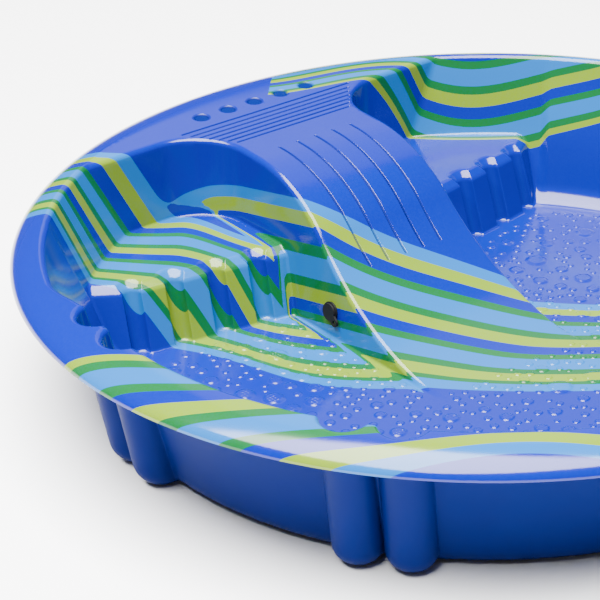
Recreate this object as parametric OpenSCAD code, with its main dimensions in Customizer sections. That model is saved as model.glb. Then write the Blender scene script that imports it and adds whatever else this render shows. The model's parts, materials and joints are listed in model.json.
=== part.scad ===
// Round wading pool, formed from one plastic sheet, with a slide and two benches.
// The origin is at the centre of the basin, on the ground.
// +Z is up, and +X runs down the slide, from the deck to the toe.
// The sheet is drawn region by region, and the regions meet face to face.

/* [Basin] */
// Diameter over the lip
rim_d = 1520; // [1300:10:1900]
// Height of the crest of the rim
pool_h = 262; // [210:2:330]
// Thickness of the formed sheet
sheet_t = 3; // [2:0.5:5]
// How far the wall leans out from its foot to the crest
wall_batter = 52; // [10:1:70]
// Radius of the cove between the floor and the wall
cove_r = 32; // [15:1:50]

/* [Rim] */
// Width of the rim from its crest to the lip
rim_w = 83; // [60:1:110]
// How far the rim falls from its crest to the lip
lip_drop = 32; // [16:1:60]
// How much narrower the rim is beside the benches
scoop_w = 31; // [10:1:40]
// Angle from +X at which the narrow rim starts
scoop_a = 109; // [106:1:118]

/* [Wall pockets] */
// Radius of one half-round pocket
pocket_r = 35.5; // [20:0.5:38]
// How far a pocket's axis stands inside the foot of the wall
pocket_in = 2; // [0:1:24]
// How far a pocket's axis leans out over the height of the wall
pocket_lean = 45; // [30:1:100]
// Angle between the two pockets of a pair
pocket_split = 7.2; // [7:0.1:10]
// Angle from +X of the first pair on each side
pocket_a = 13; // [10:1:20]
// Angle between pairs
pocket_step = 42; // [30:1:42]

/* [Slide] */
// Length of the deck from the crest of the rim to the drop
deck_l = 232; // [180:2:260]
// Slope of the deck
deck_tilt = 3; // [1:0.5:5]
// Width of the lane at the deck
slide_w = 264; // [200:2:320]
// Draft of the slide's sides
slide_draft = 5; // [2:0.2:10]
// Radius of the crown at the top of the drop
crown_r = 260; // [150:5:300]
// Steepest slope of the lane
slide_a = 48; // [38:1:52]
// Length of the straight stretch below the crown
slide_straight = 2; // [1:1:30]
// Slope where the lane runs out on the floor
toe_a = 7; // [4:0.5:10]
// Radius of the hollow corner between the deck and the rim
shoulder_r = 106; // [60:2:120]
// How far the shoulder stops short of the crest, along X
shoulder_in = 84; // [60:1:110]

/* [Benches] */
// Height of the bench tops
bench_h = 118; // [80:1:150]
// Distance from the crest at the back to the bench front's foot, on the centre line
bench_reach = 376; // [330:2:420]
// Angle at which the bench fronts turn back from the slide
bench_yaw = 10; // [2:1:16]
// Slope of the bench fronts
bench_lean = 15; // [4:1:20]
// Radius of a flute in a bench front
flute_r = 16; // [8:1:22]
// Number of flutes in a bench front
flute_n = 4; // [1:1:4]
// Distance between flutes
flute_pitch = 76; // [56:1:80]
// Distance of the first flute from the centre line
flute_first = 210; // [195:1:230]

/* [Deck and lane details] */
// Number of dimples in the deck
dimple_n = 5; // [1:2:5]
// Distance between dimples
dimple_pitch = 57.4; // [44:0.2:60]
// Diameter of a dimple
dimple_d = 35; // [20:1:40]
// Distance of the dimples from the crest
dimple_in = 40; // [30:1:46]
// Number of grooves across the deck
groove_n = 7; // [1:1:8]
// Distance between those grooves
groove_pitch = 13.4; // [9:0.2:14]
// Distance of the first groove from the crest
groove_in = 79; // [72:1:84]
// Half length of the longest groove
groove_half = 182; // [150:2:190]
// How much each groove's half length is less than the last one's
groove_taper = 10; // [8:0.2:14]
// Number of grooves down the lane
lane_n = 5; // [1:2:5]
// Distance between lane grooves
lane_pitch = 38.4; // [30:0.2:44]
// Distance of the lane grooves' start from the crest of the rim
lane_in = 218; // [205:1:240]
// Length of the lane grooves along X
lane_run = 244; // [150:2:260]
// Width of every groove
groove_w = 4; // [2:0.5:5]
// Depth of grooves and dimples
mark_depth = 1.2; // [0.5:0.1:1.4]

/* [Drain] */
// Distance of the drain from the toe of the slide, along X
drain_back = 271; // [220:1:320]
// Height of the drain's centre
drain_h = 49; // [34:1:60]
// Radius of the bore that the plug fits
plug_r = 9.5; // [6:0.5:11]
// Radial clearance of the plug in its bore
plug_fit = 0.05; // [0.01:0.01:0.1]
// Wall of the bush
bush_wall = 3; // [2:0.5:5]
// How far the flange reaches past the bush
flange_w = 4.5; // [3:0.5:8]
// Thickness of the flange
flange_t = 2.5; // [1.5:0.5:4]
// Thickness of the gasket
gasket_t = 1.5; // [1:0.5:3]
// Depth of the bush behind the sheet
bush_l = 16; // [12:1:24]
// Thickness of the nut
nut_t = 7; // [4:0.5:10]
// Thickness of the plug's head
head_t = 3.5; // [2:0.5:6]
// Length of the plug's stem
stem_l = 15; // [10:1:20]
// Reach of the pull tab from the plug's centre
tab_reach = 29; // [24:1:36]
// Half width of the pull tab
tab_half = 7.5; // [5:0.5:9]
// Turn of the pull tab from straight down
tab_turn = 50; // [0:5:90]

/* [Hidden] */
$fn = 96;

shell_colour = "royalblue";
drain_colour = "#242427";
// Slack by which cutting shapes run past what they cut
past = 2;
// Sides of the large circles
round_n = 180;
rim_r = rim_d / 2;
crest_r = rim_r - rim_w;
foot_r = crest_r - wall_batter;
scoop_r = crest_r + scoop_w;
lip_z = pool_h - lip_drop;
cove_z = sheet_t + cove_r;
floor_r = foot_r - cove_r;
big = rim_r * 3;
steps = 12;

// Height of the rim's lower face at radius r
function rim_under(r) =
    let(s = (r - crest_r) / (rim_w - sheet_t))
    lip_z + (lip_drop - sheet_t) * sqrt(max(0, 1 - s * s));

// Radius of a wall at height z, when it meets the crest's height at radius top_r
function wall_at(z, top_r) = foot_r + (top_r - foot_r) * (z - cove_z) / (pool_h - cove_z);

// The slide's side profile. At slope a, the normal is [sin a, cos a].
function slope_dir(a) = [cos(a), -sin(a)];
function slope_normal(a) = [sin(a), cos(a)];
deck_start = [-crest_r, pool_h];
crown_start = deck_start + deck_l * slope_dir(deck_tilt);
crown_c = crown_start - crown_r * slope_normal(deck_tilt);
crown_end = crown_c + crown_r * slope_normal(slide_a);
sweep_start = crown_end + slide_straight * slope_dir(slide_a);
sweep_r = (sweep_start[1] - sheet_t) / (cos(toe_a) - cos(slide_a));
sweep_c = sweep_start + sweep_r * slope_normal(slide_a);
toe_x = sweep_c[0] - sweep_r * sin(toe_a);

function profile(off) = concat(
    [deck_start - off * slope_normal(deck_tilt) - [rim_w, 0]],
    [for (i = [0:steps])
        crown_c + (crown_r - off) * slope_normal(deck_tilt + (slide_a - deck_tilt) * i / steps)],
    [for (i = [0:steps])
        sweep_c - (sweep_r + off) * slope_normal(slide_a + (toe_a - slide_a) * i / steps)],
    [[toe_x + 8 * sheet_t, sheet_t - off - 8 * sheet_t * tan(toe_a)]]);

// Half width of the slide at height z
function half_w(z) = slide_w / 2 + (pool_h - z) * tan(slide_draft);
edge_x = shoulder_in - crest_r;
shoulder_x = edge_x + shoulder_r;
shoulder_y = slide_w / 2 + shoulder_r;
bench_x = bench_reach - crest_r;

// Everything below the slide's profile lowered by off
module below_profile(off) {
    rotate([90, 0, 0])
        linear_extrude(2 * rim_r, center = true)
            polygon(concat(profile(off), [[toe_x + big, -big], [-big, -big]]));
}

// The drafted width of the slide, pulled in by off, over the whole length
module slide_width(off) {
    top = pool_h + past;
    top_w = half_w(top) - off / cos(slide_draft);
    foot_w = half_w(-past) - off / cos(slide_draft);
    rotate([90, 0, 90])
        linear_extrude(2 * big, center = true)
            polygon([[-foot_w, -past], [foot_w, -past], [top_w, top], [-top_w, top]]);
}

// The right half, from height z0 to z1 and from x0 to x1
module right_half(x0, x1, z0, z1) {
    translate([x0, 0, z0])
        cube([x1 - x0, big, z1 - z0]);
}

module at_left() {
    mirror([0, 1, 0])
        children();
}

// The right bench as a solid block, with its top and front pulled in by off
module bench_mass(off) {
    intersection() {
        translate([bench_x, 0, 0])
            rotate([0, 0, bench_yaw])
                rotate([0, -bench_lean, 0])
                    translate([0, 0, -pool_h])
                        linear_extrude(3 * pool_h)
                            difference() {
                                translate([-big - off, -rim_r])
                                    square([big, big]);
                                for (i = [0:flute_n - 1])
                                    translate([0, flute_first + i * flute_pitch])
                                        circle(r = flute_r + off);
                            }
        right_half(-big, big, -past, bench_h - off);
    }
}

// The solid under the deck's right side, with its hollow corner pulled in by off
module shoulder_mass(off) {
    difference() {
        right_half(-big, shoulder_x, -past, pool_h + past);
        translate([shoulder_x, shoulder_y, -past])
            cylinder(h = pool_h + 2 * past,
                r1 = shoulder_r + off - (pool_h + past) * tan(slide_draft),
                r2 = shoulder_r + off + past * tan(slide_draft));
        rotate([90, 0, 0])
            translate([0, 0, -shoulder_y - big])
                linear_extrude(big)
                    polygon([
                        [edge_x - off - past * tan(slide_draft), pool_h + past],
                        [edge_x - off + (pool_h + past) * tan(slide_draft), -past],
                        [big, -past],
                        [big, pool_h + past]]);
    }
}

// Points of a wall's section from the floor up, for its inner face or its outer face
function wall_line(top_r, off, top_z) = concat(
    [for (i = [0:6])
        [floor_r, cove_z] + (cove_r + off) * [sin(15 * i), -cos(15 * i)]],
    [[wall_at(top_z, top_r) + off, top_z]]);

// The basin's inner space up to a wall
module wall_space(top_r) {
    rotate_extrude($fn = round_n)
        polygon(concat([[0, sheet_t]], wall_line(top_r, 0, pool_h + past), [[0, pool_h + past]]));
}

// A wall from its cove up to top_z, from angle a0 to a1
module wall_band(top_r, top_z, a0, a1) {
    inner = wall_line(top_r, 0, top_z);
    outer = wall_line(top_r, sheet_t, top_z);
    n = len(outer);
    rotate([0, 0, a0])
        rotate_extrude(angle = a1 - a0, $fn = round_n)
            polygon(concat(inner, [for (i = [1:n]) outer[n - i]]));
}

// ---- rim ----
module rim_ring() {
    outer = [for (i = [0:steps])
        let(a = 90 * i / steps)
        [crest_r + rim_w * sin(a), lip_z + lip_drop * cos(a)]];
    inner = [for (i = [steps:-1:0])
        let(a = 90 * i / steps)
        [crest_r + (rim_w - sheet_t) * sin(a), lip_z + (lip_drop - sheet_t) * cos(a)]];
    rotate_extrude($fn = round_n)
        polygon(concat(outer, inner));
}

// The space under the rim
module under_rim() {
    curve = [for (i = [0:steps])
        let(a = 90 * i / steps)
        [crest_r + (rim_w - sheet_t) * sin(a), lip_z + (lip_drop - sheet_t) * cos(a)]];
    rotate_extrude($fn = round_n)
        polygon(concat([[0, 0], [0, pool_h - sheet_t]], curve, [[rim_r - sheet_t, 0]]));
}

// The opening of the right side's scoop through the rim
module scoop_cut() {
    far = 2 * rim_r;
    intersection() {
        wall_space(scoop_r);
        translate([0, 0, lip_z - past])
            linear_extrude(lip_drop + 4 * past)
                polygon([[edge_x, 0], [edge_x, far],
                    far * [cos(scoop_a), sin(scoop_a)], [0, 0]]);
    }
}

module pocket_cylinder(a, r) {
    rotate([0, 0, a])
        translate([foot_r - pocket_in, 0, 0])
            rotate([0, atan(pocket_lean / pool_h), 0])
                translate([0, 0, -pocket_r])
                    cylinder(h = pool_h + 3 * pocket_r, r = r);
}

// Both pockets of a pair
module pocket_pair_cylinders(a, r) {
    pocket_cylinder(a - pocket_split / 2, r);
    pocket_cylinder(a + pocket_split / 2, r);
}

// Every pair of pockets in the basin
module all_pocket_cylinders(r) {
    for (side = [-1, 1])
        for (i = [0:2])
            pocket_pair_cylinders(side * (pocket_a + i * pocket_step), r);
}

module rim() {
    color(shell_colour)
        difference() {
            rim_ring();
            scoop_cut();
            at_left() scoop_cut();
            all_pocket_cylinders(pocket_r);
        }
}

// ---- walls ----
module front_wall() {
    color(shell_colour)
        difference() {
            wall_band(crest_r, pool_h - sheet_t - 0.1, -scoop_a, scoop_a);
            all_pocket_cylinders(pocket_r + sheet_t);
        }
}

scoop_top = rim_under(scoop_r + sheet_t);

// The wall behind the right bench and beside it, with the web where it steps out
module side_wall() {
    web_a = sheet_t / foot_r * 180 / PI;
    difference() {
        union() {
            wall_band(scoop_r, scoop_top, scoop_a, 170);
            rotate([0, 0, scoop_a - web_a])
                rotate_extrude(angle = web_a, $fn = round_n)
                    polygon([
                        [foot_r + sheet_t, cove_z],
                        [wall_at(scoop_top, scoop_r) + sheet_t, scoop_top],
                        [wall_at(scoop_top, crest_r) + sheet_t, scoop_top]]);
        }
        bench_mass(sheet_t);
        shoulder_mass(sheet_t);
        right_half(-big, edge_x - sheet_t, -past, pool_h);
    }
}

module right_side_wall() {
    color(shell_colour) side_wall();
}

module left_side_wall() {
    color(shell_colour) at_left() side_wall();
}

// ---- pockets ----
// The half-round walls and the bottoms of a pair of pockets
module pocket_pair(a) {
    intersection() {
        difference() {
            pocket_pair_cylinders(a, pocket_r + sheet_t);
            difference() {
                pocket_pair_cylinders(a, pocket_r);
                translate([0, 0, -pool_h])
                    cylinder(h = pool_h + sheet_t, r = rim_r);
            }
            wall_space(crest_r);
            translate([0, 0, -past])
                cylinder(h = sheet_t + past, r = floor_r, $fn = round_n);
        }
        under_rim();
    }
}

module left_front_pockets() {
    color(shell_colour) pocket_pair(-pocket_a);
}

module right_front_pockets() {
    color(shell_colour) pocket_pair(pocket_a);
}

module left_mid_pockets() {
    color(shell_colour) pocket_pair(-pocket_a - pocket_step);
}

module right_mid_pockets() {
    color(shell_colour) pocket_pair(pocket_a + pocket_step);
}

module left_rear_pockets() {
    color(shell_colour) pocket_pair(-pocket_a - 2 * pocket_step);
}

module right_rear_pockets() {
    color(shell_colour) pocket_pair(pocket_a + 2 * pocket_step);
}

// ---- floor ----
module floor_pan() {
    color(shell_colour)
        difference() {
            cylinder(h = sheet_t, r = floor_r, $fn = round_n);
            intersection() {
                below_profile(sheet_t);
                slide_width(sheet_t);
            }
            bench_mass(sheet_t);
            at_left() bench_mass(sheet_t);
        }
}

// ---- benches ----
module bench_top() {
    difference() {
        intersection() {
            bench_mass(0);
            wall_space(scoop_r);
            right_half(-big, big, bench_h - sheet_t, bench_h);
        }
        slide_width(0);
        shoulder_mass(0);
    }
}

module right_bench_top() {
    color(shell_colour) bench_top();
}

module left_bench_top() {
    color(shell_colour) at_left() bench_top();
}

module bench_front() {
    difference() {
        intersection() {
            bench_mass(0);
            wall_space(scoop_r);
            right_half(-big, big, sheet_t, bench_h - sheet_t);
        }
        bench_mass(sheet_t);
        slide_width(0);
    }
}

module right_bench_front() {
    color(shell_colour) bench_front();
}

module left_bench_front() {
    color(shell_colour) at_left() bench_front();
}

// ---- deck ----
module slide_sheet() {
    difference() {
        below_profile(0);
        below_profile(sheet_t);
    }
}

dimple_ball = (dimple_d * dimple_d / 4 + mark_depth * mark_depth) / (2 * mark_depth);
module deck_marks() {
    translate([-crest_r, 0, pool_h])
        rotate([0, deck_tilt, 0]) {
            for (i = [0:dimple_n - 1])
                translate([dimple_in, (i - (dimple_n - 1) / 2) * dimple_pitch,
                    dimple_ball - mark_depth])
                    sphere(r = dimple_ball, $fn = 48);
            for (i = [0:groove_n - 1])
                translate([groove_in + i * groove_pitch, 0, 0])
                    cube([groove_w, 2 * (groove_half - i * groove_taper), 2 * mark_depth],
                        center = true);
        }
}

module deck() {
    color(shell_colour)
        difference() {
            intersection() {
                slide_sheet();
                cylinder(h = pool_h + past, r = crest_r, $fn = round_n);
                union() {
                    shoulder_mass(0);
                    at_left() shoulder_mass(0);
                }
            }
            deck_marks();
        }
}

// The wall under the deck's hollow corner
module shoulder() {
    difference() {
        intersection() {
            shoulder_mass(0);
            below_profile(sheet_t);
            wall_space(scoop_r);
            right_half(-big, big, bench_h - sheet_t, pool_h);
        }
        shoulder_mass(sheet_t);
        intersection() {
            rim_ring();
            right_half(-big, edge_x, 0, pool_h);
        }
    }
}

module right_shoulder() {
    color(shell_colour) shoulder();
}

module left_shoulder() {
    color(shell_colour) at_left() shoulder();
}

// ---- slide ----
module lane_marks() {
    intersection() {
        difference() {
            below_profile(-past);
            below_profile(mark_depth);
        }
        for (i = [0:lane_n - 1])
            translate([lane_in - crest_r, (i - (lane_n - 1) / 2) * lane_pitch - groove_w / 2, 0])
                cube([lane_run, groove_w, pool_h]);
    }
}

module slide_lane() {
    color(shell_colour)
        difference() {
            intersection() {
                slide_sheet();
                slide_width(0);
                translate([shoulder_x, -rim_r, sheet_t])
                    cube([big, 2 * rim_r, pool_h]);
            }
            lane_marks();
        }
}

module flank() {
    difference() {
        intersection() {
            slide_width(0);
            below_profile(sheet_t);
            right_half(shoulder_x, big, sheet_t, pool_h);
        }
        slide_width(sheet_t);
        bench_mass(sheet_t);
    }
}

module right_flank() {
    color(shell_colour) flank();
}

module left_flank() {
    color(shell_colour)
        difference() {
            at_left() flank();
            at_drain()
                translate([0, 0, -2 * sheet_t])
                    cylinder(h = 3 * sheet_t, r = drain_hole_r);
        }
}

// ---- drain ----
drain_hole_r = plug_r + bush_wall + 0.3;
bush_r = plug_r + bush_wall;
flange_r = bush_r + flange_w;
seat_z = gasket_t + flange_t;

// The drain's own frame, on the left flank's outer face, with +Z into the basin
module at_drain() {
    translate([toe_x - drain_back, -half_w(drain_h), drain_h])
        rotate([90 - slide_draft, 0, 0])
            children();
}

module drain_bush() {
    color(drain_colour)
        at_drain()
            difference() {
                union() {
                    translate([0, 0, -bush_l])
                        cylinder(h = bush_l + seat_z, r = bush_r);
                    translate([0, 0, gasket_t])
                        cylinder(h = flange_t, r = flange_r);
                }
                translate([0, 0, -bush_l - past])
                    cylinder(h = bush_l + seat_z + 2 * past, r = plug_r + plug_fit);
            }
}

module drain_gasket() {
    color(drain_colour)
        at_drain()
            difference() {
                cylinder(h = gasket_t, r = flange_r - 0.5);
                translate([0, 0, -past])
                    cylinder(h = gasket_t + 2 * past, r = bush_r);
            }
}

module drain_nut() {
    color(drain_colour)
        at_drain()
            translate([0, 0, -sheet_t - nut_t])
                difference() {
                    cylinder(h = nut_t, r = flange_r + 2, $fn = 6);
                    translate([0, 0, -past])
                        cylinder(h = nut_t + 2 * past, r = bush_r);
                }
}

module drain_plug() {
    lift = seat_z + 0.3;
    color(drain_colour)
        at_drain() {
            translate([0, 0, lift - stem_l])
                cylinder(h = stem_l + head_t, r = plug_r);
            translate([0, 0, lift])
                cylinder(h = head_t, r = flange_r - 2);
            translate([0, 0, lift])
                rotate([0, 0, tab_turn - 90])
                    linear_extrude(head_t)
                        difference() {
                            union() {
                                translate([0, -tab_half])
                                    square([tab_reach - tab_half, 2 * tab_half]);
                                translate([tab_reach - tab_half, 0])
                                    circle(r = tab_half);
                            }
                            translate([tab_reach - tab_half, 0])
                                circle(r = tab_half / 2);
                        }
        }
}

rim();
front_wall();
left_side_wall();
right_side_wall();
left_front_pockets();
right_front_pockets();
left_mid_pockets();
right_mid_pockets();
left_rear_pockets();
right_rear_pockets();
floor_pan();
left_bench_top();
right_bench_top();
left_bench_front();
right_bench_front();
deck();
left_shoulder();
right_shoulder();
slide_lane();
left_flank();
right_flank();
drain_bush();
drain_gasket();
drain_nut();
drain_plug();
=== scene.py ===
import json
import math

import bpy
import numpy as np
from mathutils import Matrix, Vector


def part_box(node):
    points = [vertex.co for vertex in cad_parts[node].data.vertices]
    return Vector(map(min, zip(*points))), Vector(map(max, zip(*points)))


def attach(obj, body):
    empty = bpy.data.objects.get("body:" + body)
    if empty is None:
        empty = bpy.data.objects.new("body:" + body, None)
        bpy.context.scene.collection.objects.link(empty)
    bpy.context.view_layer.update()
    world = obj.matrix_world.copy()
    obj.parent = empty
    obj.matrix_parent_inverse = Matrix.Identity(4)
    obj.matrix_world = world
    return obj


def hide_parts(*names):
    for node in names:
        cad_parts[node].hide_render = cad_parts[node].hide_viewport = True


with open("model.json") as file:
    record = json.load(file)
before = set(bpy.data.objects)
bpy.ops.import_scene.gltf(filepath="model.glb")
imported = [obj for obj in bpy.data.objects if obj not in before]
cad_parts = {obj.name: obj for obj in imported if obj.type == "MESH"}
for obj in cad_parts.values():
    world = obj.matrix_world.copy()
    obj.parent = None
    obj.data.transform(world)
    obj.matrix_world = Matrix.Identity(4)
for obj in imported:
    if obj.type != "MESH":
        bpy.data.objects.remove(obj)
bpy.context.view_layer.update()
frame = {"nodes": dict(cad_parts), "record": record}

SHELL_NODES = [
    "rim", "front_wall", "left_side_wall", "right_side_wall", "left_front_pockets",
    "right_front_pockets", "left_mid_pockets", "right_mid_pockets", "left_rear_pockets",
    "right_rear_pockets", "floor_pan", "left_bench_top", "right_bench_top",
    "left_bench_front", "right_bench_front", "deck", "left_shoulder", "right_shoulder",
    "slide_lane", "left_flank", "right_flank",
]


def mm_box(node):
    low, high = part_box(node)
    return np.array(low) * 1000, np.array(high) * 1000


# ---- sizes of the formed sheet, in millimetres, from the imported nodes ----
RIM_LO, RIM_HI = mm_box("rim")
FLOOR_LO, FLOOR_HI = mm_box("floor_pan")
LANE_LO, LANE_HI = mm_box("slide_lane")

RIM_R = (RIM_HI[0] - RIM_LO[0]) / 2
CREST_Z = RIM_HI[2]
LIP_Z = RIM_LO[2]
SHEET = FLOOR_HI[2] - FLOOR_LO[2]
CREST_R = -mm_box("deck")[0][0]
FLOOR_R = FLOOR_HI[0]
BENCH_Z = mm_box("right_bench_top")[1][2]
TOE_HALF = LANE_HI[1]
SHOULDER_X = LANE_LO[0]
COVE_R = 32.0
COVE_Z = SHEET + COVE_R
FOOT_R = FLOOR_R + COVE_R
RIM_W = RIM_R - CREST_R
LIP_DROP = CREST_Z - LIP_Z
SCOOP_W = 31.0
SHOULDER_R = 106.0
EDGE_X = SHOULDER_X - SHOULDER_R
DRAFT = math.radians(5.0)
LANE_HALF = 132.0
BENCH_YAW = math.radians(10.0)
BENCH_LEAN = math.radians(15.0)
BENCH_X = 376.0 - CREST_R
FLUTE_R = 16.0
FLUTE_T = 210.0 + 76.0 * np.arange(4)
POCKET_R = 35.5
POCKET_IN = 2.0
POCKET_LEAN = 45.0
POCKET_PAIRS = np.array([13.0, 55.0, 97.0])
POCKET_SPLIT = 7.2
TILT, SLIDE_A, TOE_A = map(math.radians, (3.0, 48.0, 7.0))
CROWN_R = 260.0
DECK_L = 232.0
STRAIGHT = 2.0


def slope_dir(a):
    return np.array([math.cos(a), -math.sin(a)])


def slope_normal(a):
    return np.array([math.sin(a), math.cos(a)])


CROWN_START = np.array([-CREST_R, CREST_Z]) + DECK_L * slope_dir(TILT)
CROWN_C = CROWN_START - CROWN_R * slope_normal(TILT)
CROWN_END = CROWN_C + CROWN_R * slope_normal(SLIDE_A)
SWEEP_START = CROWN_END + STRAIGHT * slope_dir(SLIDE_A)
SWEEP_R = (SWEEP_START[1] - SHEET) / (math.cos(TOE_A) - math.cos(SLIDE_A))
SWEEP_C = SWEEP_START + SWEEP_R * slope_normal(SLIDE_A)
TOE = SWEEP_C - SWEEP_R * slope_normal(TOE_A)


# ---- rounded joins of solids: a field is negative inside its solid ----
def both(a, b, r):
    """Intersection of two solids with its edge rounded to radius r."""
    return np.minimum(-r, np.maximum(a, b)) + np.hypot(np.maximum(a + r, 0), np.maximum(b + r, 0))


def either(a, b, r):
    """Union of two solids with a fillet of radius r between them."""
    return np.maximum(r, np.minimum(a, b)) - np.hypot(np.maximum(r - a, 0), np.maximum(r - b, 0))


def step(x, lo, hi):
    t = np.clip((x - lo) / (hi - lo), 0, 1)
    return t * t * (3 - 2 * t)


def half_w(z):
    return LANE_HALF + (CREST_Z - z) * math.tan(DRAFT)


def profile_field(x, z):
    """Height of a point above the slide's side profile, measured square to it."""
    around = np.arctan2(x - CROWN_C[0], z - CROWN_C[1])
    deck = (x - CROWN_START[0]) * math.sin(TILT) + (z - CROWN_START[1]) * math.cos(TILT)
    crown = np.hypot(x - CROWN_C[0], z - CROWN_C[1]) - CROWN_R
    inner = np.arctan2(SWEEP_C[0] - x, SWEEP_C[1] - z)
    steep = (x - CROWN_END[0]) * math.sin(SLIDE_A) + (z - CROWN_END[1]) * math.cos(SLIDE_A)
    sweep = SWEEP_R - np.hypot(x - SWEEP_C[0], z - SWEEP_C[1])
    toe = (x - TOE[0]) * math.sin(TOE_A) + (z - TOE[1]) * math.cos(TOE_A)
    low = np.where(inner > SLIDE_A, steep, np.where(inner < TOE_A, toe, sweep))
    high = np.where(around < TILT, deck, crown)
    return np.where(around < SLIDE_A, high, low)


def bar(x, y, ax, ay, bx, by, half):
    """1 on the middle of a pressed groove between two points, falling to 0 at its edge."""
    dx, dy = bx - ax, by - ay
    t = np.clip(((x - ax) * dx + (y - ay) * dy) / (dx * dx + dy * dy), 0, 1)
    d = np.hypot(x - ax - t * dx, y - ay - t * dy)
    return step(-d, -half, -0.2 * half)


DIMPLE_X = 40.0 - CREST_R
DIMPLE_Y = 57.4 * (np.arange(5) - 2)
DIMPLE_R = 17.5
GROOVE_X = 79.0 + 13.4 * np.arange(7) - CREST_R
GROOVE_HALF = 182.0 - 10.0 * np.arange(7)
LANE_Y = 38.4 * (np.arange(5) - 2)
LANE_X = (218.0 - CREST_R, 462.0 - CREST_R)
MARK = 2.4


def marks(x, y):
    """How deep the dimples and grooves go at a point of the deck or lane."""
    deep = np.zeros_like(x)
    near = x < DIMPLE_X + 30
    for cy in DIMPLE_Y:
        d = np.hypot(x - DIMPLE_X, y - cy)
        deep = np.where(near, np.maximum(deep, 4.5 * step(-d, -DIMPLE_R, -0.45 * DIMPLE_R)), deep)
    for gx, gh in zip(GROOVE_X, GROOVE_HALF):
        deep = np.maximum(deep, MARK * bar(x, y, gx, -gh, gx, gh, 2.6))
    for ly in LANE_Y:
        deep = np.maximum(deep, MARK * bar(x, y, LANE_X[0], ly, LANE_X[1], ly, 2.4))
    return deep


BUBBLE_SIZES = ((38, 18.0, 25.0), (190, 10.0, 16.0), (1100, 5.5, 9.0))
BUBBLE_GAP = 3.0
CELL = 2.0


def make_bubbles():
    """Round bosses scattered over the floor: centre, radius and height of each."""
    rng = np.random.default_rng(7)
    made = np.zeros((0, 4))
    for want, low, high in BUBBLE_SIZES:
        full = len(made) + want
        for _ in range(14000):
            if len(made) == full:
                break
            rad = rng.uniform(low, high)
            x, y = rng.uniform(-FLOOR_R, FLOOR_R, 2)
            front = (x - BENCH_X) * math.cos(BENCH_YAW) + abs(y) * math.sin(BENCH_YAW)
            on_toe = x < TOE[0] + rad + 5 and abs(y) < TOE_HALF + rad + 5
            if math.hypot(x, y) > FLOOR_R - rad - 8 or front < rad + FLUTE_R or on_toe:
                continue
            away = np.hypot(made[:, 0] - x, made[:, 1] - y) - made[:, 2]
            if len(made) == 0 or away.min() > rad + BUBBLE_GAP:
                made = np.vstack([made, (x, y, rad, 1.0 + 0.07 * rad)])
    return made


BUBBLES = make_bubbles()


def bubble_cells():
    """Which bubble is nearest to each cell of the floor, or -1; gaps keep this unique."""
    n = int(2 * FLOOR_R / CELL) + 2
    owner = np.full((n, n), -1)
    least = np.full((n, n), CELL)
    for k, (cx, cy, rad, _) in enumerate(BUBBLES):
        i = np.arange(int((cx - rad + FLOOR_R) / CELL) - 1, int((cx + rad + FLOOR_R) / CELL) + 2)
        j = np.arange(int((cy - rad + FLOOR_R) / CELL) - 1, int((cy + rad + FLOOR_R) / CELL) + 2)
        gx = -FLOOR_R + CELL * (i[:, None] + 0.5)
        gy = -FLOOR_R + CELL * (j[None, :] + 0.5)
        away = np.hypot(gx - cx, gy - cy) - rad
        patch = np.ix_(i, j)
        near = away < least[patch]
        owner[patch] = np.where(near, k, owner[patch])
        least[patch] = np.where(near, away, least[patch])
    return owner


BUBBLE_AT = bubble_cells()


def bubble_height(x, y):
    tall = np.zeros_like(x)
    inside = np.nonzero(x * x + y * y < (FLOOR_R - 4) ** 2)[0]
    px, py = x[inside], y[inside]
    own = BUBBLE_AT[((px + FLOOR_R) / CELL).astype(int), ((py + FLOOR_R) / CELL).astype(int)]
    inside, px, py, own = inside[own >= 0], px[own >= 0], py[own >= 0], own[own >= 0]
    cx, cy, rad, high = BUBBLES[own].T
    tall[inside] = high * step(-np.hypot(px - cx, py - cy) / rad, -1.0, -0.55)
    return tall


def wall_field(x, ay, z, r, turn):
    """The wall, its scoops beside the benches and its pockets."""
    scoop = step(turn, 102, 112)
    rise = (z - COVE_Z) / (CREST_Z - COVE_Z)
    seat = (BENCH_Z - COVE_Z) / (CREST_Z - COVE_Z)
    belly = np.exp(-((rise - seat) / 0.36) ** 2)
    behind_seat = step(turn, 128.6, 130.6)
    radius = FOOT_R + (CREST_R + SCOOP_W * scoop - FOOT_R) * rise
    radius = radius + scoop * belly * (13.0 * behind_seat - 9.0)
    wall = (radius - r) * 0.965
    pockets = np.full_like(x, 1e3)
    lean = math.atan(POCKET_LEAN / CREST_Z)
    axis_r = FOOT_R - POCKET_IN + POCKET_LEAN * z / CREST_Z
    for pair in POCKET_PAIRS:
        for side in (-0.5, 0.5):
            a = math.radians(pair + side * POCKET_SPLIT)
            out = (x * math.cos(a) + ay * math.sin(a) - axis_r) * math.cos(lean)
            across = ay * math.cos(a) - x * math.sin(a)
            pockets = np.minimum(pockets, np.hypot(out, across) - POCKET_R)
    return both(wall, -pockets, 5.0)


def bench_field(x, ay, z):
    foot = (x - BENCH_X) * math.cos(BENCH_YAW) + ay * math.sin(BENCH_YAW)
    along = ay * math.cos(BENCH_YAW) - (x - BENCH_X) * math.sin(BENCH_YAW)
    front = (foot + z * math.tan(BENCH_LEAN)) * math.cos(BENCH_LEAN)
    turn = math.radians(35)
    end = ((x + 378) * math.cos(turn) + (ay - 442) * math.sin(turn)
           + z * math.tan(BENCH_LEAN)) * math.cos(BENCH_LEAN)
    face = both(front, end, 6.0)
    for t in FLUTE_T:
        face = both(face, FLUTE_R - np.hypot(front, along - t), 2.5)
    top = z - BENCH_Z
    edge = (face + top + 12.0) * 0.7071
    return both(np.maximum(face, top), edge, 3.0)


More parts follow.
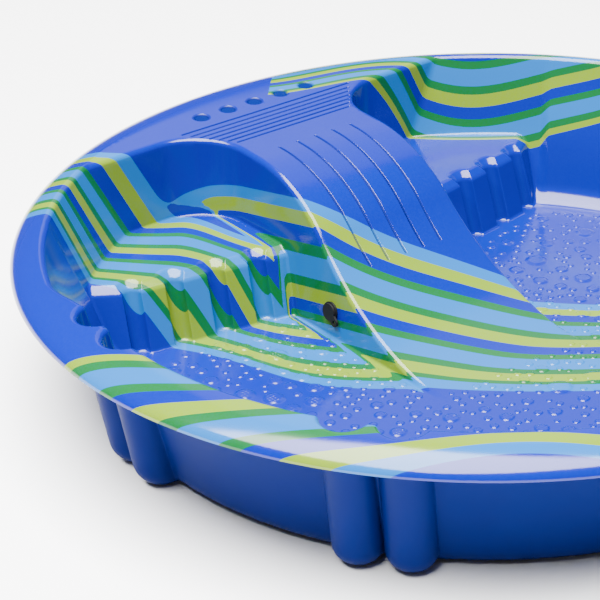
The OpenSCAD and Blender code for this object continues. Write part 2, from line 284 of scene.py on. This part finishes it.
def slide_field(x, y, ay, z, marked):
    side = (ay - half_w(z)) * math.cos(DRAFT)
    back = (x - EDGE_X - (CREST_Z - z) * math.tan(DRAFT)) * math.cos(DRAFT)
    hollow = np.maximum(SHOULDER_R - (CREST_Z - z) * math.tan(DRAFT), 20)
    plan = either(side, back, hollow)
    top = profile_field(x, z)
    if marked:
        top = top + marks(x, y)
    return both(plan, top, 9.0)


def rim_field(r, z):
    """The disc under the rim's top: level inside the crest, an ellipse out to the lip."""
    u = np.maximum(r - CREST_R, 0) / RIM_W
    w = np.maximum(z - LIP_Z, 1e-6) / LIP_DROP
    size = np.hypot(u, w)
    slope = np.hypot(u / RIM_W, w / LIP_DROP) / size
    return np.where(z < LIP_Z, r - RIM_R, (size - 1) / slope)


def sheet_field(p, marked=True):
    """The filled solid whose top surface is the formed sheet's."""
    x, y, z = p[:, 0], p[:, 1], p[:, 2]
    ay = np.abs(y)
    r = np.hypot(x, y)
    turn = np.degrees(np.arctan2(ay, x))
    ground = z - SHEET
    if marked:
        ground = ground - bubble_height(x, y)
    body = either(wall_field(x, ay, z, r, turn), ground, COVE_R)
    body = either(body, bench_field(x, ay, z), 5.0)
    body = either(body, slide_field(x, y, ay, z, marked), 4.0)
    crest = 1.5 + 7.5 * step(x, EDGE_X - 12, EDGE_X + 8)
    return both(body, rim_field(r, z), crest)


def gradient(p, marked=True, d=0.25):
    g = np.empty_like(p)
    for k in range(3):
        e = np.zeros(3)
        e[k] = d
        g[:, k] = sheet_field(p + e, marked) - sheet_field(p - e, marked)
    return g / (2 * d)


def settle(p, marked=True, rounds=4):
    """Move points onto the surface, along its slope."""
    for _ in range(rounds):
        f = sheet_field(p, marked)
        g = gradient(p, marked)
        p = p - np.clip(f / np.maximum((g * g).sum(1), 0.3), -4, 4)[:, None] * g
    return p


def surface_net(h):
    """A closed net of triangles round the solid, from a grid of spacing h."""
    reach = RIM_R + 1.5 * h
    n = int(math.ceil(2 * reach / h)) + 1
    xs = -reach + h * np.arange(n)
    zs = -2 * h + h * np.arange(int(math.ceil((CREST_Z + 4 * h) / h)) + 1)
    values = np.empty((n, n, len(zs)), dtype=np.float32)
    for i in range(0, n, 8):
        block = np.stack(np.meshgrid(xs[i:i + 8], xs, zs, indexing="ij"), -1)
        values[i:i + 8] = sheet_field(block.reshape(-1, 3), False).reshape(block.shape[:3])
    inside = values < 0
    nx, ny, nz = (s - 1 for s in values.shape)
    total = np.zeros((nx, ny, nz), dtype=np.int8)
    for a in (0, 1):
        for b in (0, 1):
            for c in (0, 1):
                total += inside[a:a + nx, b:b + ny, c:c + nz]
    mixed = (total > 0) & (total < 8)
    ids = np.full(mixed.shape, -1, dtype=np.int64)
    cells = np.argwhere(mixed)
    ids[mixed] = np.arange(len(cells))
    centre = np.zeros((len(cells), 3))
    count = np.zeros(len(cells))
    corner = [(a, b, c) for a in (0, 1) for b in (0, 1) for c in (0, 1)]
    ci, cj, ck = cells.T
    for s in corner:
        for k in range(3):
            if s[k]:
                continue
            e = list(s)
            e[k] = 1
            va = values[ci + s[0], cj + s[1], ck + s[2]]
            vb = values[ci + e[0], cj + e[1], ck + e[2]]
            cross = (va < 0) != (vb < 0)
            t = np.where(cross, va / np.where(cross, va - vb, 1), 0)
            spot = np.tile(np.array(s, float), (len(cells), 1))
            spot[:, k] += t
            centre += np.where(cross[:, None], spot, 0)
            count += cross
    points = np.stack([xs[ci], xs[cj], zs[ck]], 1) + h * centre / count[:, None]
    quads = []
    for k in range(3):
        lo = [slice(None)] * 3
        hi = [slice(None)] * 3
        lo[k] = slice(0, -1)
        hi[k] = slice(1, None)
        change = inside[tuple(lo)] != inside[tuple(hi)]
        at = np.argwhere(change)
        u, v = (k + 1) % 3, (k + 2) % 3
        ok = (at[:, u] > 0) & (at[:, v] > 0)
        ok &= (at[:, u] < mixed.shape[u]) & (at[:, v] < mixed.shape[v])
        at = at[ok]
        ring = []
        for du, dv in ((-1, -1), (0, -1), (0, 0), (-1, 0)):
            cell = at.copy()
            cell[:, u] += du
            cell[:, v] += dv
            ring.append(ids[cell[:, 0], cell[:, 1], cell[:, 2]])
        q = np.stack(ring, 1)
        flip = ~inside[at[:, 0], at[:, 1], at[:, 2]]
        q[flip] = q[flip][:, ::-1]
        quads.append(q)
    quads = np.concatenate(quads)
    return points, quads[(quads >= 0).all(1)]


def compact(points, tris):
    used = np.zeros(len(points), dtype=bool)
    used[tris.ravel()] = True
    new = np.cumsum(used) - 1
    return points[used], new[tris]


def edges_of(tris):
    e = np.concatenate([tris[:, [0, 1]], tris[:, [1, 2]], tris[:, [2, 0]]])
    return np.sort(e, 1)


def border_edges(tris):
    """Directed edges that belong to one triangle only."""
    e = np.concatenate([tris[:, [0, 1]], tris[:, [1, 2]], tris[:, [2, 0]]])
    key = np.sort(e, 1)
    code = key[:, 0].astype(np.int64) * (tris.max() + 1) + key[:, 1]
    _, first, counts = np.unique(code, return_index=True, return_counts=True)
    return e[first[counts == 1]]


def refine(points, tris, wanted, marked, keep_border):
    """Split every edge that wanted() picks, then settle the new points."""
    e = edges_of(tris)
    big = len(points)
    code = e[:, 0].astype(np.int64) * big + e[:, 1]
    unique, inverse = np.unique(code, return_inverse=True)
    a, b = unique // big, unique % big
    split = wanted(points[a], points[b])
    if keep_border:
        border = np.sort(border_edges(tris), 1)
        split &= ~np.isin(unique, border[:, 0].astype(np.int64) * big + border[:, 1])
    middle = np.full(len(unique), -1, dtype=np.int64)
    middle[split] = big + np.arange(split.sum())
    fresh = settle((points[a[split]] + points[b[split]]) / 2, marked, 3)
    m = middle[inverse].reshape(3, -1).T
    out = []
    cut_here = m >= 0
    number = cut_here.sum(1)
    out.append(tris[number == 0])
    one = number == 1
    t, mm, k = tris[one], m[one], cut_here[one].argmax(1)
    rows = np.arange(len(t))
    p0, p1, p2 = t[rows, k], t[rows, (k + 1) % 3], t[rows, (k + 2) % 3]
    c = mm[rows, k]
    out += [np.stack([p0, c, p2], 1), np.stack([c, p1, p2], 1)]
    two = number == 2
    t, mm, k = tris[two], m[two], (~cut_here[two]).argmax(1)
    rows = np.arange(len(t))
    p0, p1, p2 = t[rows, k], t[rows, (k + 1) % 3], t[rows, (k + 2) % 3]
    c1, c2 = mm[rows, (k + 1) % 3], mm[rows, (k + 2) % 3]
    out += [np.stack([c1, p2, c2], 1), np.stack([p0, p1, c1], 1), np.stack([p0, c1, c2], 1)]
    three = number == 3
    t, mm = tris[three], m[three]
    out += [
        np.stack([t[:, 0], mm[:, 0], mm[:, 2]], 1), np.stack([mm[:, 0], t[:, 1], mm[:, 1]], 1),
        np.stack([mm[:, 2], mm[:, 1], t[:, 2]], 1), mm]
    return np.concatenate([points, fresh]), np.concatenate(out)


def bent(a, b, marked, angle, shortest):
    """Edges across which the surface turns by more than angle degrees."""
    long = np.linalg.norm(a - b, axis=1) > shortest
    pick = np.nonzero(long)[0]
    turned = np.zeros(len(a), dtype=bool)
    na, nb = gradient(a[pick], marked), gradient(b[pick], marked)
    dot = (na * nb).sum(1) / (np.linalg.norm(na, axis=1) * np.linalg.norm(nb, axis=1))
    turned[pick] = dot < math.cos(math.radians(angle))
    return turned


def detailed(a, b):
    """Edges that cross a groove, dimple or bubble and are too long to show it."""
    length = np.linalg.norm(a - b, axis=1)
    need = np.full(len(a), 1e9)
    for t in (0.0, 0.25, 0.5, 0.75, 1.0):
        p = a + (b - a) * t
        above = profile_field(p[:, 0], p[:, 2])
        on_slide = (np.abs(above) < 3) & (np.abs(p[:, 1]) < 240) & (p[:, 0] < TOE[0] - 40)
        cut = marks(p[:, 0], p[:, 1])
        need = np.where(on_slide & (cut > 0.02), np.minimum(need, 2.0), need)
        on_floor = p[:, 2] < SHEET + 4
        rise = bubble_height(p[:, 0], p[:, 1])
        need = np.where(on_floor & (rise > 0.02), np.minimum(need, 3.2), need)
    return length > need


H_NET = 6.0
DRAIN_SPOT = (np.array(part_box("drain_gasket")[0]) + np.array(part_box("drain_gasket")[1])) * 500
DRAIN_OUT = np.array(frame["record"]["behaviour"]["joints"][0]["axis"])
DRAIN_HOLE = 12.8


def from_drain(p):
    """Distance of points from the drain's axis, and along it."""
    away = p - DRAIN_SPOT
    along = away @ DRAIN_OUT
    return np.linalg.norm(away - along[:, None] * DRAIN_OUT, axis=1), along


def trim(points, tris):
    """Keep the sheet itself: nothing below the lip outside, and a hole for the drain."""
    centre = points[tris].mean(1)
    skin = (centre[:, 2] > LIP_Z - 1) | (np.hypot(centre[:, 0], centre[:, 1]) < RIM_R - 4)
    skin &= centre[:, 2] > 0.5
    away, along = from_drain(centre)
    skin &= (away > DRAIN_HOLE) | (np.abs(along) > 25)
    points, tris = compact(points, tris[skin])
    border = np.unique(border_edges(tris))
    away, along = from_drain(points[border])
    ring = border[(away < 2 * DRAIN_HOLE) & (np.abs(along) < 25)]
    away, along = from_drain(points[ring])
    middle = DRAIN_SPOT + along[:, None] * DRAIN_OUT
    points[ring] = middle + (points[ring] - middle) * (DRAIN_HOLE / away)[:, None]
    return points, tris


def shell_mesh():
    """The whole formed sheet: printed top face, plain underside and the cut edge of the lip."""
    points, quads = surface_net(H_NET)
    points = settle(points, False)
    points, tris = trim(points, np.concatenate([quads[:, [0, 1, 2]], quads[:, [0, 2, 3]]]))
    points, tris = refine(points, tris, lambda a, b: bent(a, b, False, 9, 5.0), False, False)
    border = np.unique(border_edges(tris))
    rim_edge = border[np.hypot(points[border, 0], points[border, 1]) > RIM_R - 12]
    away = np.hypot(points[rim_edge, 0], points[rim_edge, 1])
    points[rim_edge, :2] *= (RIM_R / away)[:, None]
    points[rim_edge, 2] = LIP_Z
    slope = gradient(points, False)
    slope /= np.linalg.norm(slope, axis=1)[:, None]
    slope[rim_edge] = np.stack([points[rim_edge, 0], points[rim_edge, 1], 0 * away], 1) / RIM_R
    under = points - SHEET * slope
    under[:, 2] = np.maximum(under[:, 2], 0)
    top, top_tris = refine(points, tris, lambda a, b: bent(a, b, True, 9, 2.6), True, True)
    for _ in range(3):
        top, top_tris = refine(top, top_tris, detailed, True, True)
    top, top_tris = refine(top, top_tris, lambda a, b: bent(a, b, True, 12, 2.0), True, True)
    edge = border_edges(tris)
    first = len(top)
    lip = np.concatenate([
        np.stack([edge[:, 1], edge[:, 0], edge[:, 0] + first], 1),
        np.stack([edge[:, 1], edge[:, 0] + first, edge[:, 1] + first], 1)])
    verts = np.concatenate([top, under])
    faces = np.concatenate([top_tris, tris[:, ::-1] + first, lip])
    normals = gradient(top, True)
    normals /= np.linalg.norm(normals, axis=1)[:, None]
    kinds = np.repeat(np.array([0, 1], dtype=np.int32), [len(top_tris), len(tris) + len(lip)])
    return verts, faces, kinds, np.concatenate([normals, -slope])


# ---- where each point of the sheet lies in the print ----
PRINT_TURN = math.radians(48.5)
PRINT_SLANT = 0.26
FLANK_RISE = 0.2
RIGHT_SPREAD = 1.9
FAR_START, FAR_CELL = 600.0, 60.0
FAR_FROM = -400.0
FAR_BACK = 100.0
NEAR_START, NEAR_CELL = -474.0, 118.0
NEAR_SWAY = 16.0
FLANK_EDGE = 157.0
LOW_REACH, WALL_REACH = 15.0, 93.0
CREST_BAND = CREST_R + 8
DECK_HALF = 240.0


def slide_edge():
    """The side profile of the slide as points, back to front."""
    xs = np.linspace(-CREST_R, TOE[0] + 20, 500)
    low, high = np.full_like(xs, -40.0), np.full_like(xs, CREST_Z + 10)
    for _ in range(30):
        mid = (low + high) / 2
        above = profile_field(xs, mid) > 0
        low, high = np.where(above, low, mid), np.where(above, mid, high)
    return xs, low


def print_spot(x, y, z):
    """Distance along the print and across it, and the place between its two guiding bands."""
    c, k = math.cos(PRINT_TURN), math.sin(PRINT_TURN)
    along = x * c + y * k
    waver = 3.0 * np.sin(x / 61 + y / 97) + 2.5 * np.sin(y / 43 - x / 129 + 1)
    across = y * c - x * k - PRINT_SLANT * (CREST_Z - z) + waver
    upper = 86.0 - 0.055 * along
    lower = -50.0 - 88.0 * np.tanh((along + 420) / 150)
    return along, across, (across - lower) / (upper - lower)


def print_places(p):
    """Each point's place in the print: its stripe, the far and near sets, and how deep it is cut,
    which the material turns into painted shade in the grooves and dimples.
    """
    x, y, z = p.T
    ay, r = np.abs(y), np.hypot(x, y)
    along, across, q = print_spot(x, y, z)
    left = 1 - step(along, -540, -350)
    height = profile_field(x, z)
    top = (height > -5) & (ay < half_w(z) + 3) & (r < CREST_BAND)
    deck = (z > CREST_Z - 14) & (x < CROWN_START[0]) & (r < CREST_BAND) & (ay < DECK_HALF)
    left = np.where(top | deck, 0, left)
    right_band = RIGHT_SPREAD * q
    stripe = right_band + left * (q - right_band)
    edge_x, edge_z = slide_edge()
    fall = (edge_z - FLANK_RISE * edge_x)[::-1]
    met = np.interp(z - FLANK_RISE * x, fall, edge_x[::-1])
    met_z = np.interp(met, edge_x, edge_z)
    flank_band = RIGHT_SPREAD * print_spot(met, np.full_like(met, -LANE_HALF), met_z)[2]
    reach = FLANK_EDGE + LOW_REACH + WALL_REACH * step(z, BENCH_Z + 4, BENCH_Z + 32)
    flank = np.where((y < 0) & (r < CREST_R) & ~top, 1 - step(ay, FLANK_EDGE, reach), 0)
    flank *= 1 - step(z, CREST_Z - 22, CREST_Z - 6)
    stripe = stripe + flank * (flank_band - stripe)
    back = FAR_BACK * (1 - step(along, -450, -150))
    sway = NEAR_SWAY * np.sin(along / 130 + 3.8)
    on_slide = (np.abs(height) < 8) & (ay < half_w(z) + 60) & (x < LANE_X[1] + 20)
    # How deep the grooves and dimples go, carried to the material as the amount of painted shade
    # there
    cut = np.where(on_slide, marks(x, y) / MARK, 0)
    far = (across + back - FAR_START) / FAR_CELL
    near = (NEAR_START - across - sway) / NEAR_CELL
    return {"stripe": stripe, "far": far, "near": near, "along": along, "cut": np.minimum(cut, 1)}


# ---- helpers for objects and materials ----
def new_object(name, verts_mm, faces, materials, kinds, normals, values):
    mesh = bpy.data.meshes.new(name)
    mesh.vertices.add(len(verts_mm))
    mesh.vertices.foreach_set("co", (np.asarray(verts_mm, dtype=np.float32) / 1000).ravel())
    mesh.loops.add(len(faces) * 3)
    mesh.loops.foreach_set("vertex_index", np.asarray(faces, dtype=np.int32).ravel())
    mesh.polygons.add(len(faces))
    mesh.polygons.foreach_set("loop_start", np.arange(0, len(faces) * 3, 3, dtype=np.int32))
    mesh.polygons.foreach_set("use_smooth", np.ones(len(faces), dtype=bool))
    for m in materials:
        mesh.materials.append(m)
    mesh.polygons.foreach_set("material_index", kinds)
    for key, value in values.items():
        carried = mesh.attributes.new(key, "FLOAT", "POINT")
        carried.data.foreach_set("value", value.astype(np.float32))
    mesh.update(calc_edges=True)
    mesh.validate()
    mesh.normals_split_custom_set_from_vertices(normals.astype(np.float32).tolist())
    obj = bpy.data.objects.new(name, mesh)
    bpy.context.scene.collection.objects.link(obj)
    return obj


# ---- materials ----
def new_material(name):
    mat = bpy.data.materials.new(name)
    mat.use_nodes = True
    tree = mat.node_tree
    return mat, tree, tree.nodes["Principled BSDF"]


def put(tree, node, index, value):
    """Feeds a socket from another node, or sets its own value."""
    if isinstance(value, bpy.types.NodeSocket):
        tree.links.new(value, node.inputs[index])
    else:
        node.inputs[index].default_value = value


def calc(tree, kind, *values):
    node = tree.nodes.new("ShaderNodeMath")
    node.operation = kind
    for k, v in enumerate(values):
        put(tree, node, k, v)
    return node.outputs[0]


def fade(tree, value, lo, hi):
    """0 below lo, 1 above hi."""
    node = tree.nodes.new("ShaderNodeMapRange")
    for k, v in enumerate((value, lo, hi, 0.0, 1.0)):
        put(tree, node, k, v)
    return node.outputs[0]


def blended(tree, amount, a, b):
    node = tree.nodes.new("ShaderNodeMix")
    node.data_type = "RGBA"
    for k, v in ((0, amount), (6, a), (7, b)):
        put(tree, node, k, v)
    return node.outputs[2]


def noise(tree, where, scale, detail=2.0):
    node = tree.nodes.new("ShaderNodeTexNoise")
    tree.links.new(where, node.inputs["Vector"])
    node.inputs["Scale"].default_value = scale
    node.inputs["Detail"].default_value = detail
    return node.outputs[0]


def bumped(tree, bsdf, height, strength, distance):
    node = tree.nodes.new("ShaderNodeBump")
    node.inputs["Strength"].default_value = strength
    node.inputs["Distance"].default_value = distance
    tree.links.new(height, node.inputs["Height"])
    tree.links.new(node.outputs[0], bsdf.inputs["Normal"])


def ink(r, g, b):
    """A print colour given as it looks on screen, from 0 to 255."""
    return tuple((v / 255 / 12.92 if v < 11 else ((v / 255 + 0.055) / 1.055) ** 2.4)
                 for v in (r, g, b)) + (1.0,)


BLUE = ink(0, 15, 114)
SKY = ink(6, 80, 140)
GREEN = ink(7, 74, 30)
LIME = ink(92, 114, 14)
SKIRT = ink(0, 15, 76)


def attribute(tree, name):
    node = tree.nodes.new("ShaderNodeAttribute")
    node.attribute_name = name
    return node.outputs["Fac"]


def stripes(tree, value, low, high, first, *bands):
    """Bands of ink across a value: first below them all, then each from its start."""
    node = tree.nodes.new("ShaderNodeValToRGB")
    ramp = node.color_ramp
    ramp.interpolation = "CONSTANT"
    tree.links.new(fade(tree, value, low, high), node.inputs[0])
    ramp.elements[0].color = first
    ramp.elements.remove(ramp.elements[1])
    for start, colour in bands:
        ramp.elements.new((start - low) / (high - low)).color = colour
    return node.outputs[0]


STRIPE_CELL = ((0.0, LIME), (0.12, GREEN), (0.26, SKY), (0.55, GREEN), (0.7, BLUE), (0.9, LIME))
STRIPE_CELLS = 2


def stripe_colour(tree):
    """One short run of bands, repeated along the stripe value that the mesh carries."""
    bands = [(-0.1, LIME)]
    for cell in range(STRIPE_CELLS):
        bands += [(cell + start, colour) for start, colour in STRIPE_CELL]
    bands += [(STRIPE_CELLS + 0.1, SKY), (STRIPE_CELLS + 0.3, BLUE)]
    value = attribute(tree, "stripe")
    far, near = attribute(tree, "far"), attribute(tree, "near")
    beyond = calc(tree, "GREATER_THAN", attribute(tree, "along"), FAR_FROM)
    for other, shown in ((far, beyond), (near, 1.0)):
        shown = calc(tree, "MULTIPLY", calc(tree, "GREATER_THAN", other, 0.0), shown)
        value = calc(tree, "MULTIPLY_ADD", calc(tree, "SUBTRACT", other, value), shown, value)
    return stripes(tree, value, -1.0, 3.0, BLUE, (-0.4, SKY), (-0.2, GREEN), *bands)


def printed_plastic():
    mat, tree, bsdf = new_material("printed_sheet")
    coords = tree.nodes.new("ShaderNodeTexCoord").outputs["Object"]
    colour = stripe_colour(tree)
    grain = noise(tree, coords, 260.0, 3.0)
    haze = noise(tree, coords, 9.0, 4.0)
    dusty = blended(tree, calc(tree, "MULTIPLY_ADD", grain, 0.10, -0.03), colour, ink(50, 76, 140))
    # Painted shade in the grooves and dimples: the base colour darkens towards ink(0, 8, 60) with
    # the cut depth
    cut = attribute(tree, "cut")
    groove_shaded = blended(tree, calc(tree, "MULTIPLY", cut, 0.85), dusty, ink(0, 8, 60))
    tree.links.new(groove_shaded, bsdf.inputs["Base Color"])
    gloss = calc(tree, "MULTIPLY_ADD", haze, 0.10, 0.09)
    tree.links.new(calc(tree, "MULTIPLY_ADD", cut, 0.5, gloss), bsdf.inputs["Roughness"])
    tree.links.new(calc(tree, "MULTIPLY_ADD", cut, -0.33, 0.36), bsdf.inputs["Specular IOR Level"])
    bumped(tree, bsdf, noise(tree, coords, 420.0, 2.0), 0.05, 0.0004)
    return mat


def plain_plastic():
    mat, tree, bsdf = new_material("plain_sheet")
    coords = tree.nodes.new("ShaderNodeTexCoord").outputs["Object"]
    cloud = noise(tree, coords, 14.0, 5.0)
    colour = blended(tree, calc(tree, "MULTIPLY_ADD", cloud, 0.24, -0.06), SKIRT, ink(4, 34, 104))
    tree.links.new(colour, bsdf.inputs["Base Color"])
    tree.links.new(calc(tree, "MULTIPLY_ADD", cloud, 0.16, 0.36), bsdf.inputs["Roughness"])
    bsdf.inputs["Specular IOR Level"].default_value = 0.04
    bumped(tree, bsdf, noise(tree, coords, 900.0, 2.0), 0.18, 0.0003)
    return mat


def black_part(name, colour, rough, texture):
    mat, tree, bsdf = new_material(name)
    coords = tree.nodes.new("ShaderNodeTexCoord").outputs["Object"]
    speck = noise(tree, coords, texture, 4.0)
    tree.links.new(blended(tree, calc(tree, "MULTIPLY", speck, 0.3), colour, ink(40, 40, 44)),
                   bsdf.inputs["Base Color"])
    tree.links.new(calc(tree, "MULTIPLY_ADD", speck, 0.2, rough), bsdf.inputs["Roughness"])
    bsdf.inputs["Specular IOR Level"].default_value = 0.15
    bumped(tree, bsdf, speck, 0.15, 0.0002)
    return mat


def build_shell():
    verts, faces, kinds, normals = shell_mesh()
    shell = new_object("pool_shell", verts, faces, [printed_plastic(), plain_plastic()],
                       kinds, normals, print_places(verts))
    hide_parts(*SHELL_NODES)
    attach(shell, "pool")
    return shell


def finish_drain():
    """The drain's fittings keep their CAD shapes; their finishes go on here."""
    moulded = black_part("moulded_black", ink(12, 12, 14), 0.28, 700.0)
    rubber = black_part("soft_rubber", ink(6, 6, 7), 0.5, 1500.0)
    for node, mat in (("drain_bush", moulded), ("drain_nut", moulded),
                      ("drain_gasket", rubber), ("drain_plug", rubber)):
        obj = frame["nodes"][node]
        if not obj.material_slots:
            obj.data.materials.append(None)
        for place in obj.material_slots:
            place.link = "OBJECT"
            place.material = mat


# ---- stage, camera and lights ----
CAMERA_AT = Vector((2.4970, -2.2089, 1.8342))
CAMERA_TO = Vector((-0.66932, 0.58355, -0.45990))


def set_camera():
    data = bpy.data.cameras.new("camera")
    data.sensor_width = 36
    data.lens = 138
    data.shift_x = -175 / 600
    cam = bpy.data.objects.new("camera", data)
    cam.rotation_mode = "QUATERNION"
    cam.rotation_quaternion = CAMERA_TO.to_track_quat("-Z", "Y")
    cam.location = CAMERA_AT
    bpy.context.scene.collection.objects.link(cam)
    bpy.context.scene.camera = cam


def area_light(name, where, aim, size, power):
    data = bpy.data.lights.new(name, "AREA")
    data.shape = "RECTANGLE"
    data.size, data.size_y = size
    data.energy = power
    light = bpy.data.objects.new(name, data)
    light.location = where
    light.rotation_mode = "QUATERNION"
    light.rotation_quaternion = (Vector(aim) - Vector(where)).to_track_quat("-Z", "Y")
    bpy.context.scene.collection.objects.link(light)


def set_stage():
    mesh = bpy.data.meshes.new("ground")
    r = 30.0
    mesh.from_pydata([(-r, -r, 0), (r, -r, 0), (r, r, 0), (-r, r, 0)], [], [(0, 1, 2, 3)])
    ground = bpy.data.objects.new("ground", mesh)
    bpy.context.scene.collection.objects.link(ground)
    mat, _, bsdf = new_material("pale_ground")
    bsdf.inputs["Base Color"].default_value = (0.95, 0.95, 0.95, 1)
    bsdf.inputs["Roughness"].default_value = 0.9
    bsdf.inputs["Specular IOR Level"].default_value = 0.0
    mesh.materials.append(mat)
    world = bpy.data.worlds.new("world")
    bpy.context.scene.world = world
    world.use_nodes = True
    world.node_tree.nodes["Background"].inputs["Color"].default_value = (1, 1, 1, 1)
    world.node_tree.nodes["Background"].inputs["Strength"].default_value = 0.12
    area_light("overhead", (0.3, -1.8, 6.0), (0.3, -1.8, 0), (6.0, 6.0), 4300)
    area_light("back_box", (-2.3, 2.3, 2.98), (0, 0, 0.38), (3.4, 2.6), 32)


build_shell()
finish_drain()
set_camera()
set_stage()
